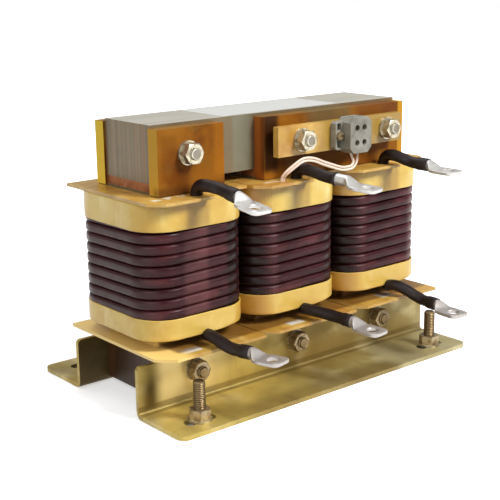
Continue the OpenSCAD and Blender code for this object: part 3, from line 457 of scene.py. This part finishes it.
def sleeve_rubber():
    p = Paint("sleeve rubber", (30, 19, 18), 0.46, specular=0.3)
    p.clouds((52, 42, 32), 0.5, 0.5, 0.75, 60, detail=3)
    p.bump(p.noise(160), 0.0008, 0.5)
    return p.done()


def block_plastic():
    p = Paint("block plastic", (132, 128, 116), 0.42)
    p.clouds((88, 84, 76), 0.6, 0.45, 0.7, 110, detail=3)
    p.clouds((168, 168, 160), 0.5, 0.5, 0.72, 70, detail=3, shift=(4, 4, 1))
    return p.done()


def brass_clamp():
    p = Paint("brass clamp", (60, 50, 32), 0.4, metal=0.6)
    p.clouds((34, 26, 16), 0.6, 0.45, 0.7, 400, detail=3)
    return p.done()


def wire_plastic():
    p = Paint("wire plastic", (240, 216, 198), 0.36, coat=0.2)
    p.clouds((206, 170, 140), 0.4, 0.5, 0.75, 90, detail=3)
    return p.done()


# The paints carry the names of the record's material slots
PAINTS = {made.__name__: made() for made in (
    chromated_steel, laminate, core_steel, former_board, insulation, winding_wrap, enamelled_copper,
    plated_steel, tinned_copper, sleeve_rubber, block_plastic, brass_clamp, wire_plastic)}

# Nodes that look unlike the rest of their slot; threaded rods have a thread along their own axis
shim, packing, bright = shim_board(), dark_board(), bright_nut()
OWN_PAINTS = {
    "front_packing": packing, "rear_packing": packing, "washers": bright, "clamp_nuts": bright,
    "foot_studs": thread("thread upright", Z, (150, 128, 90)),
    "yoke_bolts": thread("thread level", Y, (150, 128, 90)),
    "clamp_bolts": thread("bright thread level", Y, (204, 198, 180)),
    **{f"{side}_gap_shim": shim for side in SIDES}}

# Small bevels catch the light on the edges of CAD nodes, with widths in millimetres
BEVELS = {"chromated_steel": 0.5, "laminate": 0.5, "core_steel": 0.25, "former_board": 0.35,
          "insulation": 0.6, "plated_steel": 0.2, "tinned_copper": 0.3, "block_plastic": 0.35}
BEVEL_ANGLE = 38
# Sharp edges are those past these angles, on CAD nodes and on the pieces made here
NODE_SHARP = 35
SHARP = {"enamelled_copper": 50, "insulation": 60, "sleeve_rubber": 50, "tinned_copper": 40,
         "wire_plastic": 50}


def dress_frame():
    """CAD nodes take their slot's paint or one of their own."""
    slots = {s["node"]: s["material_slot"] for s in frame["record"]["subparts"]}
    for name, obj in NODES.items():
        slot = slots[name]
        obj.data.materials.clear()
        obj.data.materials.append(OWN_PAINTS.get(name, PAINTS[slot]))
        if slot in BEVELS:
            bevel = obj.modifiers.new("edges", "BEVEL")
            bevel.width = BEVELS[slot] * MM
            bevel.segments = 2
            bevel.limit_method = "ANGLE"
            bevel.angle_limit = math.radians(BEVEL_ANGLE)
            smooth_by_angle(obj, NODE_SHARP)


def smooth_by_angle(obj, degrees):
    """Marks the sharp edges, and shades the rest smooth."""
    mesh = obj.data
    for polygon in mesh.polygons:
        polygon.use_smooth = True
    mesh.set_sharp_from_angle(angle=math.radians(degrees))


# Meshes
def link(obj):
    bpy.context.scene.collection.objects.link(obj)
    return obj


def add_mesh(name, verts, faces, slot, replaced=()):
    """A piece from points in millimetres. It rides on the one body and stands for the nodes named."""
    mesh = bpy.data.meshes.new(name)
    mesh.from_pydata([tuple(c * MM for c in v) for v in verts], [], faces)
    mesh.validate()
    shell = bmesh.new()
    shell.from_mesh(mesh)
    bmesh.ops.recalc_face_normals(shell, faces=shell.faces)
    shell.to_mesh(mesh)
    shell.free()
    obj = link(bpy.data.objects.new(name, mesh))
    mesh.materials.append(PAINTS[slot])
    smooth_by_angle(obj, SHARP[slot])
    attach(obj, "root")
    if replaced:
        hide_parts(*replaced)
    return obj


def tube(rings, closed_ends=True, loop=False, start=0):
    """Points and faces of rings of equal length, with flat ends if asked. Points count from start."""
    count, sides = len(rings), len(rings[0])
    verts = [v for ring in rings for v in ring]
    faces = []
    for i in range(count if loop else count - 1):
        a, b = i * sides + start, (i + 1) % count * sides + start
        for k in range(sides):
            n = (k + 1) % sides
            faces.append((a + k, a + n, b + n, b + k))
    if closed_ends and not loop:
        faces.append(tuple(start + k for k in reversed(range(sides))))
        faces.append(tuple(start + (count - 1) * sides + k for k in range(sides)))
    return verts, faces


def around(sides):
    """Angles of a ring."""
    return [2 * math.pi * k / sides for k in range(sides)]


def round_ring(centre, direction, side, radius, sides):
    """Circle across a direction, which starts towards side."""
    t = Vector(direction).normalized()
    u = Vector(side)
    u = (u - t * u.dot(t)).normalized()
    w = t.cross(u)
    return [Vector(centre) + radius * (math.cos(a) * u + math.sin(a) * w) for a in around(sides)]


def superellipse(angle, power, wide=1.0, high=1.0):
    """Point on a rounded rectangle, given by its half sizes and squarer with a higher power."""
    c, s = math.cos(angle), math.sin(angle)
    size = (abs(c / wide) ** power + abs(s / high) ** power) ** (-1 / power)
    return c * size, s * size


def soft_step(value, low, high):
    t = min(max((value - low) / (high - low), 0.0), 1.0)
    return t * t * (3 - 2 * t)


# Outer layers of turns
QUARTER = math.pi * HELIX_CORNER / 2
LOOP_LENGTH = 4 * (FLAT_X + FLAT_Y + QUARTER)
TURN_X = {UPPER: LEAD_X[UPPER] - STUB - SIDE_BEND, LOWER: LEAD_X[LOWER] + STUB + SIDE_BEND}
HELIX_START_Z = TURNS_BOTTOM - PITCH / 2
HELIX_LENGTH = TURN_COUNT * LOOP_LENGTH - (TURN_X[LOWER] - TURN_X[UPPER])
RUN_IN = TURN_DEPTH
HELIX_END_Z = HELIX_START_Z + PITCH * (HELIX_LENGTH - 2 * RUN_IN) / LOOP_LENGTH
TURN_STEP = 2.4
TURN_SIDES = 20
TURN_SQUARENESS = 3.8
TURN_SWAY = 0.22


def outline_place(run):
    """Point and outward direction on the rounded rectangle, run millimetres on from the front's middle."""
    run %= LOOP_LENGTH
    lengths = (FLAT_X, QUARTER, 2 * FLAT_Y, QUARTER, 2 * FLAT_X, QUARTER, 2 * FLAT_Y, QUARTER, FLAT_X)
    heading = 0
    x, y = 0.0, -HELIX_Y
    for i, length in enumerate(lengths):
        step = min(run, length)
        a = math.radians(heading)
        if i % 2 == 0:
            x, y = x + step * math.cos(a), y + step * math.sin(a)
        else:
            cx, cy = x - HELIX_CORNER * math.sin(a), y + HELIX_CORNER * math.cos(a)
            a += step / HELIX_CORNER
            x, y = cx + HELIX_CORNER * math.sin(a), cy - HELIX_CORNER * math.cos(a)
            heading += 90
        run -= length
        if run <= 0:
            break
    return x, y, math.sin(a), -math.cos(a)


def outer_turns(i):
    """One helix of wound copper that sways a little, level over a run-in at both ends."""
    section = [superellipse(a, TURN_SQUARENESS) for a in around(TURN_SIDES)]
    stops = [TURN_STEP * k for k in range(math.ceil(HELIX_LENGTH / TURN_STEP))] + [HELIX_LENGTH]
    rings = []
    for run in stops:
        x, y, nx, ny = outline_place(TURN_X[LOWER] + run)
        climbed = min(max(run, RUN_IN), HELIX_LENGTH - RUN_IN) - RUN_IN
        z = HELIX_START_Z + PITCH * climbed / LOOP_LENGTH
        z += TURN_SWAY * noise.noise(Vector((x * 0.03, y * 0.03 + i * 9, z * 0.35)))
        rings.append([(COIL_X[i] + x + nx * a * TURN_DEPTH / 2, y + ny * a * TURN_DEPTH / 2,
                       z + b * TURN_HEIGHT / 2) for a, b in section])
    name = SIDES[i]
    add_mesh(f"{name}_turns", *tube(rings), "enamelled_copper", (f"{name}_outer_turns",))


# Collars: tape wound round the coil above and below the turns, uneven as hand work is
COLLAR_INSIDE = -TURN_DEPTH
TUCK = PITCH - TURN_GAP / 2 + SEAT
COLLAR_RINGS = 150
EDGE_STEPS = 4
FACE_STEPS = 8
TAPE_OUT = 0.5
TAPE_LAP = 0.22
TAPE_LUMP = 0.28
TAPE_GRAIN = 0.1
EDGE_WAVE = 0.35
COLLAR_DROOP = {UPPER: 4.2, LOWER: 1.2}
PLATE_EDGE = 1.1
TURN_EDGE = 0.35


def collar(i, s):
    """Rings of one profile each, as (distance out from the turns' outside, height)."""
    low, high = (TURNS_TOP, UPPER_PLATE_BOTTOM) if s == UPPER else (LOWER_COLLAR_BOTTOM, TURNS_BOTTOM)
    seed = Vector((i * 7.3, s * 4.1, 2.7))
    rings = []
    for k in range(COLLAR_RINGS):
        x, y, nx, ny = outline_place(LOOP_LENGTH * k / COLLAR_RINGS)
        # The tape sinks at the front right corner, and its outer lap starts left of the front's middle
        droop = COLLAR_DROOP[s] * soft_step(x, 12, 26) * soft_step(-y, 20, 36)
        lap = TAPE_LAP * soft_step(x, -14 - 2 * i, -12 - 2 * i) * (y < 0)

        def out(z):
            at = Vector((x * 0.045, y * 0.045, z * 0.11)) + seed
            return TAPE_OUT + lap + TAPE_LUMP * noise.noise(at) + TAPE_GRAIN * noise.noise(at * 4)

        wave = EDGE_WAVE * noise.noise(Vector((x * 0.06, y * 0.06, 3)) + seed)
        if s == UPPER:
            top, bottom = high - droop, low + 0.1 * wave
            round_top, round_low = PLATE_EDGE + 0.5 * droop, TURN_EDGE
            inside = [(COLLAR_INSIDE, high - SEAT), (COLLAR_INSIDE, low + TUCK)]
            inside += [(-SEAT, low + TUCK), (-SEAT, low)]
        else:
            top, bottom = high - 0.1 * wave, low + droop + max(wave, 0)
            round_top, round_low = TURN_EDGE, PLATE_EDGE
            inside = [(-SEAT, high), (-SEAT, high - TUCK)]
            inside += [(COLLAR_INSIDE, high - TUCK), (COLLAR_INSIDE, low)]
        edge = [math.pi / 2 * j / EDGE_STEPS for j in range(EDGE_STEPS + 1)]
        profile = [(out(bottom) - round_low * (1 - math.sin(a)), bottom + round_low * (1 - math.cos(a)))
                   for a in edge]
        for j in range(1, FACE_STEPS):
            z = bottom + round_low + (top - round_top - bottom - round_low) * j / FACE_STEPS
            profile.append((out(z), z))
        profile += [(out(top) - round_top * (1 - math.cos(a)), top - round_top * (1 - math.sin(a)))
                    for a in edge]
        rings.append([(COIL_X[i] + x + nx * (TURN_DEPTH / 2 + o), y + ny * (TURN_DEPTH / 2 + o), z)
                      for o, z in profile + inside])
    name = f"{SIDES[i]}_{'upper' if s == UPPER else 'lower'}"
    add_mesh(f"{name}_tape", *tube(rings, closed_ends=False, loop=True), "insulation", (f"{name}_collar",))


# Leads: the conductor leaves the turns, bends up or down, bends to the front and runs out to its lug
BEND_STEPS = 8
RUN_STEPS = 18
FRONT_BEND_START = BEND_STEPS + 2
LEAD_SIDES = 20
SLEEVE_SIDES = 24
SLEEVE_WOBBLE = 0.045
FLARE = 0.6
LUG_SIDES = 48
LUG_EDGE = 0.35
BARREL_EDGE = 0.2
NECK_STEPS = 8
NECK_NARROWER = 0.4
NECK_INTO_BARREL = 0.5
NECK_INTO_PALM = 1
PALM_SQUARENESS = 5.0
ACROSS_LEAD = Vector((1, 0, 0))


def lead_heading(s, i):
    swing, drop = math.radians(SWING[s][i]), math.radians(DROP[s][i])
    return Vector((math.sin(swing) * math.cos(drop), -math.cos(swing) * math.cos(drop), -math.sin(drop)))


def lead_start(s):
    return Vector((TURN_X[s], -HELIX_Y, HELIX_END_Z if s == UPPER else HELIX_START_Z))


def lead_root(s):
    return Vector((LEAD_X[s], -HELIX_Y - FRONT_BEND[s], RUN_Z[s]))


def lead_end(s, i):
    """Place where the lug's barrel starts."""
    root = lead_root(s)
    reach = REACH[s][i]
    side, sink = reach * SIDE_SHARE[s][i], reach * SINK_SHARE[s][i]
    return Vector((root.x + side, -COIL_DEPTH / 2 - reach, root.z - sink))


def lead_line(s, i):
    """Middle line of a conductor as (point, direction, side), from the end face of the turns."""
    start, root, bend = lead_start(s), lead_root(s), FRONT_BEND[s]
    head = lead_heading(s, i)
    tip = lead_end(s, i) - head * LEAD_RUN_IN
    quarter = [math.pi / 2 * k / BEND_STEPS for k in range(BEND_STEPS + 1)]
    line = [(start, Vector((s, 0, 0)), Vector((0, 1, 0)))]
    for a in quarter:
        line.append((start + s * Vector((STUB + SIDE_BEND * math.sin(a), 0, SIDE_BEND * (1 - math.cos(a)))),
                     s * Vector((math.cos(a), 0, math.sin(a))), Vector((0, 1, 0))))
    for a in quarter:
        y, z = start.y - bend * (1 - math.cos(a)), root.z - s * bend * (1 - math.sin(a))
        line.append((Vector((root.x, y, z)), Vector((0, -math.sin(a), s * math.cos(a))), Vector((s, 0, 0))))
    out = (tip - root).length
    b1, b2 = root + Vector((0, -out / 3, CREST[s][i])), tip - head * out / 3
    for k in range(1, RUN_STEPS + 1):
        t = k / RUN_STEPS
        u = 1 - t
        point = root * u ** 3 + b1 * 3 * t * u ** 2 + b2 * 3 * t * t * u + tip * t ** 3
        slope = (b1 - root) * u ** 2 + (b2 - b1) * 2 * t * u + (tip - b2) * t * t
        line.append((point, slope.normalized(), ACROSS_LEAD))
    return line


def coil_place(i):
    return Vector((COIL_X[i], 0, 0))


def lead(s, i):
    head = lead_heading(s, i)
    line = lead_line(s, i) + [(lead_end(s, i) + head * LEAD_SEAT, head, ACROSS_LEAD)]
    return tube([round_ring(p + coil_place(i), t, side, LEAD_D / 2, LEAD_SIDES) for p, t, side in line])


def sleeve(s, i):
    """Sleeve from the coil over the conductor, which widens over the lug's barrel."""
    line = lead_line(s, i)
    head = lead_heading(s, i)
    if s == UPPER:
        line = line[FRONT_BEND_START:]
        line.insert(0, (Vector((LEAD_X[s], -HELIX_Y, UPPER_PLATE_BOTTOM + SEAT)), line[0][1], line[0][2]))
    else:
        line = line[FRONT_BEND_START + BEND_STEPS:]
        p, t, side = line[0]
        line[0] = (p - Vector((0, COLLAR_PROUD + SEAT, 0)), t, side)
    wall = (SLEEVE_D - LEAD_D) / 2
    bore = LEAD_D / 2 + LEAD_SLACK
    wide = LUG_BARREL_D / 2 + LUG_SLACK
    shape = [(p, t, side, SLEEVE_D / 2, bore) for p, t, side in line]
    end, cover = lead_end(s, i), COVER[s][i]
    shape.append((end - head * FLARE, head, ACROSS_LEAD, SLEEVE_D / 2 + 0.05, bore))
    # The wall is stretched thin over the barrel, as shares of its own thickness
    for along, share in ((FLARE, 0.45), (0.3 * cover, 0.55), (0.6 * cover, 0.5), (cover - 0.4, 0.5),
                         (cover, 0.3)):
        shape.append((end + head * along, head, ACROSS_LEAD, wide + share * wall, wide))
    outer_rings, inner_rings = [], []
    for p, t, side, outer, inner in shape:
        wobble = 1 + SLEEVE_WOBBLE * noise.noise(p * 0.2 + Vector((i * 5, s * 3, 0)))
        outer_rings.append(round_ring(p + coil_place(i), t, side, outer * wobble, SLEEVE_SIDES))
        inner_rings.append(round_ring(p + coil_place(i), t, side, inner, SLEEVE_SIDES))
    return tube(outer_rings + inner_rings[::-1], closed_ends=False, loop=True)


def lug(s, i):
    """Barrel, neck that flattens into the palm, and the palm with its stud hole."""
    r, inner = LUG_BARREL_D / 2, LEAD_D / 2 + LEAD_SLACK
    half = LUG_PALM_THICKNESS / 2
    low, top = -r, -r + LUG_PALM_THICKNESS
    neck_x = LUG_BARREL_LENGTH - NECK_INTO_BARREL
    neck_length = LUG_NECK_LENGTH + NECK_INTO_BARREL + NECK_INTO_PALM
    palm_x = LUG_BARREL_LENGTH + LUG_NECK_LENGTH - NECK_INTO_PALM
    end_x = LUG_BARREL_LENGTH + LUG_NECK_LENGTH + LUG_PALM_LENGTH
    hole_x = end_x - LUG_PALM_WIDTH / 2
    verts, faces = [], []

    def add(rings, loop):
        v, f = tube(rings, not loop, loop, len(verts))
        verts.extend(v)
        faces.extend(f)

    add([[(x, radius * math.cos(a), radius * math.sin(a)) for a in around(LUG_SIDES)]
         for x, radius in ((0, r - BARREL_EDGE), (BARREL_EDGE, r), (LUG_BARREL_LENGTH, r),
                           (LUG_BARREL_LENGTH, inner), (0, inner))], loop=True)
    neck = []
    for j in range(NECK_STEPS + 1):
        t = j / NECK_STEPS
        e = soft_step(t, 0, 1)
        wide = r + (LUG_PALM_WIDTH / 2 - NECK_NARROWER - r) * e
        high = r + (half - r) * e
        outline = [superellipse(a, 2 + 6 * e) for a in around(LUG_SIDES)]
        neck.append([(neck_x + neck_length * t, wide * c, low + high + high * q) for c, q in outline])
    add(neck, loop=False)
    palm, hole = [], []
    for z, trim in ((low, LUG_EDGE), (low + LUG_EDGE, 0), (top - LUG_EDGE, 0), (top, LUG_EDGE)):
        radius = LUG_HOLE_D / 2 + trim
        palm.append([])
        for a in around(LUG_SIDES):
            length = hole_x - palm_x if math.cos(a) < 0 else end_x - hole_x
            c, q = superellipse(a, PALM_SQUARENESS, length - trim, LUG_PALM_WIDTH / 2 - trim)
            palm[-1].append((hole_x + c, q, z))
        hole.append([(hole_x + radius * math.cos(a), radius * math.sin(a), z) for a in around(LUG_SIDES)])
    add(palm + hole[::-1], loop=True)
    head = lead_heading(s, i)
    swing = math.radians(SWING[s][i])
    across = Vector((math.cos(swing), math.sin(swing), 0))
    up = head.cross(across)
    origin = lead_end(s, i) + coil_place(i)
    return [origin + head * x + across * y + up * z for x, y, z in verts], faces


def leads():
    for s, word in ((UPPER, "upper"), (LOWER, "lower")):
        for i, side in enumerate(SIDES):
            for kind, node, make, slot in (("conductor", "leads", lead, "enamelled_copper"),
                                           ("sleeve", "sleeves", sleeve, "sleeve_rubber"),
                                           ("lug", "lugs", lug, "tinned_copper")):
                # The middle piece stands for the node that holds all three
                replaced = (f"{word}_{node}",) if side == "middle" else ()
                add_mesh(f"{side}_{word}_{kind}", *make(s, i), slot, replaced)


# The pair of thin wires, from the switch in the middle coil over the upper lead to the terminal block,
# on the CAD source's route
WIRE_D, WIRE_GAP = 1.8, 0.2
WIRE_STEPS = 6
WIRE_SIDES = 14
WIRE_ROUTE = ((-14.5, -43, 143.5), (-14.4, -44.4, 146.2), (-12.6, -46.8, 149.4), (-8.4, -49, 153),
              (-3, -50, 155.9), (2.5, -50.3, 156.3), (9, -50.7, 154.9), (15, -51, 152.4), (24, -51.5, 149.2),
              (31, -51.8, 146.8), (36.5, -52, 146), (42, -52.6, 146.6), (45.3, -52.6, 149.6),
              (45.5, -52.5, 153.5))
SWITCH_TOP = (-14.5, -43, 139.7)
BLOCK_X, POLE_PITCH, POLE_Y, BLOCK_BOTTOM, POLE_TOP = 44.3, 7, -52.5, 156.4, 161.5
POLE_EASE = Vector((-1, 0, 0.6))


def smooth_line(line):
    """Points on a smooth curve through all points of a line."""
    smooth = []
    for k in range(len(line) - 1):
        a, b, c, d = line[max(k - 1, 0)], line[k], line[k + 1], line[min(k + 2, len(line) - 1)]
        for j in range(WIRE_STEPS):
            t = j / WIRE_STEPS
            smooth.append(0.5 * (2 * b + (c - a) * t + (2 * a - 5 * b + 4 * c - d) * t * t
                                 + (3 * b - a - 3 * c + d) * t ** 3))
    return smooth + [line[-1]]


def switch_wires():
    route = [Vector(point) for point in WIRE_ROUTE]
    for e, word in ((-1, "first"), (1, "second")):
        shift = e * (WIRE_D + WIRE_GAP) / 2
        line = [Vector(SWITCH_TOP) + Vector((shift, 0, 0))]
        for k, point in enumerate(route[:-1]):
            ahead = route[k + 1] - (route[k - 1] if k else line[0])
            line.append(point + shift * ahead.normalized().cross(Vector((0, -1, 0))).normalized())
        pole = BLOCK_X + e * POLE_PITCH / 2
        line += [Vector((pole, POLE_Y, BLOCK_BOTTOM)), Vector((pole, POLE_Y, POLE_TOP))]
        if word == "first":
            # This wire turns back to its pole, so the bend below it is eased to about 2 diameters
            line[-4] += 0.3 * POLE_EASE
            line[-3] += POLE_EASE
        smooth = smooth_line(line)
        rings = []
        for k, point in enumerate(smooth):
            ahead = smooth[min(k + 1, len(smooth) - 1)] - smooth[max(k - 1, 0)]
            rings.append(round_ring(point, ahead, (0, 1, 0), WIRE_D / 2, WIRE_SIDES))
        replaced = ("switch_wires",) if word == "first" else ()
        wire = add_mesh(f"{word}_switch_wire", *tube(rings), "wire_plastic", replaced)


# Setting
def camera():
    data = bpy.data.cameras.new("camera")
    data.sensor_width = CAMERA_SENSOR
    data.lens = CAMERA_LENS
    data.clip_start = CAMERA_NEAR
    data.clip_end = CAMERA_FAR
    obj = link(bpy.data.objects.new("camera", data))
    yaw, pitch, roll = (math.radians(a) for a in (CAMERA_YAW, CAMERA_PITCH, CAMERA_ROLL))
    ahead = Vector((math.sin(yaw) * math.cos(pitch), math.cos(yaw) * math.cos(pitch), -math.sin(pitch)))
    right = Vector((math.cos(yaw), -math.sin(yaw), 0))
    up = right.cross(ahead)
    right, up = math.cos(roll) * right + math.sin(roll) * up, math.cos(roll) * up - math.sin(roll) * right
    obj.location = CAMERA_PLACE
    obj.rotation_mode = "QUATERNION"
    obj.rotation_quaternion = Matrix((right, up, -ahead)).transposed().to_quaternion()
    bpy.context.scene.camera = obj


def floor():
    """White to the camera and in reflections. The glow grows with distance, so that the floor runs into the
    white behind it. The floor keeps the shadow, and is dark below the slots."""
    mesh = bpy.data.meshes.new("floor")
    corners = [(FLOOR_HALF * x, FLOOR_HALF * y, 0) for x, y in ((-1, -1), (1, -1), (1, 1), (-1, 1))]
    mesh.from_pydata(corners, [], [(0, 1, 2, 3)])
    obj = link(bpy.data.objects.new("floor", mesh))
    obj.location = (0, 0, -FLOOR_DROP)
    material = bpy.data.materials.new("floor")
    material.use_nodes = True
    mesh.materials.append(material)
    n = Nodes(material.node_tree)
    seen = n.ray_is("Camera", "Glossy")
    position = n.add("NewGeometry").outputs["Position"]
    distance = n.add("VectorMath", operation="LENGTH")
    n.feed(distance.inputs[0], position)
    outside = []
    for axis, middle, half in SLOT_SHADE:
        away = n.maths("SUBTRACT", n.maths("ABSOLUTE", n.part(position, axis)), middle)
        outside.append(n.maths("GREATER_THAN", n.maths("ABSOLUTE", away), half))
    rise = n.ramp(distance.outputs["Value"], 0.3, 1.3, 0.45, 1.2)
    glow = n.product(seen, rise, n.maths("MAXIMUM", *outside))
    albedo = n.mix(seen, (0.16, 0.15, 0.13, 1), (0.86, 0.86, 0.86, 1))
    shader = n.tree.nodes["Principled BSDF"]
    for key, value in (("Roughness", 0.9), ("Specular IOR Level", 0.0), ("Base Color", albedo),
                       ("Emission Color", (1, 1, 1, 1)), ("Emission Strength", glow)):
        n.feed(shader.inputs[key], value)


def world():
    """White to the camera and through glass, and a dimmer even light on the object."""
    made = bpy.data.worlds.new("world")
    bpy.context.scene.world = made
    made.use_nodes = True
    n = Nodes(made.node_tree)
    background = n.tree.nodes["Background"]
    background.inputs["Color"].default_value = (1, 1, 1, 1)
    n.feed(background.inputs["Strength"], n.ramp(n.ray_is("Camera", "Transmission"), 0, 1, WORLD_LIGHT, 1))


def lights():
    for name, place, size, power in LIGHTS:
        data = bpy.data.lights.new(name, "AREA")
        data.shape = "RECTANGLE"
        data.size, data.size_y = size
        data.energy = power
        obj = link(bpy.data.objects.new(name, data))
        obj.location = place
        obj.rotation_mode = "QUATERNION"
        obj.rotation_quaternion = (LIGHT_TARGET - Vector(place)).to_track_quat("-Z", "Y")


bpy.context.scene.view_settings.view_transform = "Standard"
camera()
floor()
world()
lights()
dress_frame()
for index in range(len(SIDES)):
    outer_turns(index)
    collar(index, UPPER)
    collar(index, LOWER)
leads()
switch_wires()
